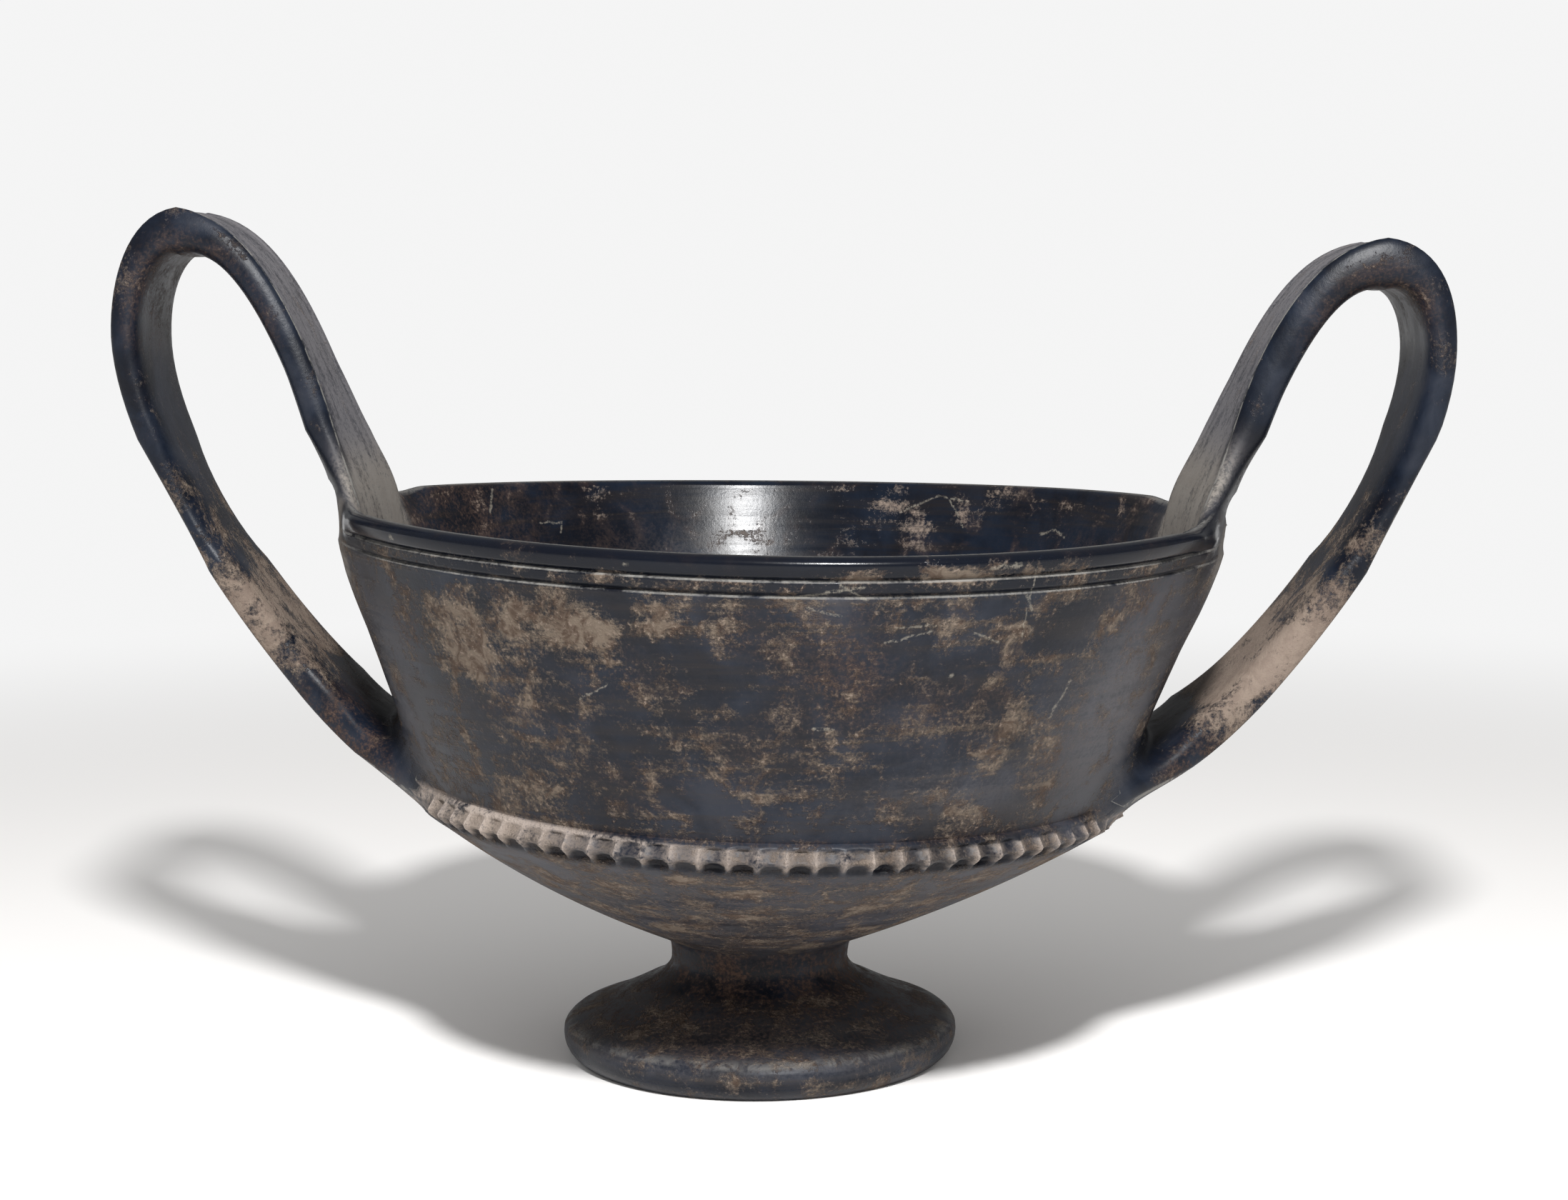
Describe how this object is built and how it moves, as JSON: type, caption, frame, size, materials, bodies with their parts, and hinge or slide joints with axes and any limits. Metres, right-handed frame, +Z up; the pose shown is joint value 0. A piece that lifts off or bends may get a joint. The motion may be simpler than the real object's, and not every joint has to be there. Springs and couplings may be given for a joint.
{
  "type": "kantharos drinking cup",
  "caption": "Footed drinking cup of burnished black fired clay with a notched edge, a short stem and tall looped strap handles.",
  "frame": {"origin": "under the middle of the whole cup's box, on the surface that the foot stands on", "axes": "+Z up out of the bowl's mouth, +X from the taller handle towards the lower one, +Y to the back"},
  "size_m": [0.1968, 0.1364, 0.1288],
  "materials": {
    "black_clay": "smoke-blackened clay, burnished to a soft gloss, with tan burial crust, grey film, scratches and chips"
  },
  "bodies": {
    "root": {"kantharos": "black_clay"}
  },
  "joints": []
}
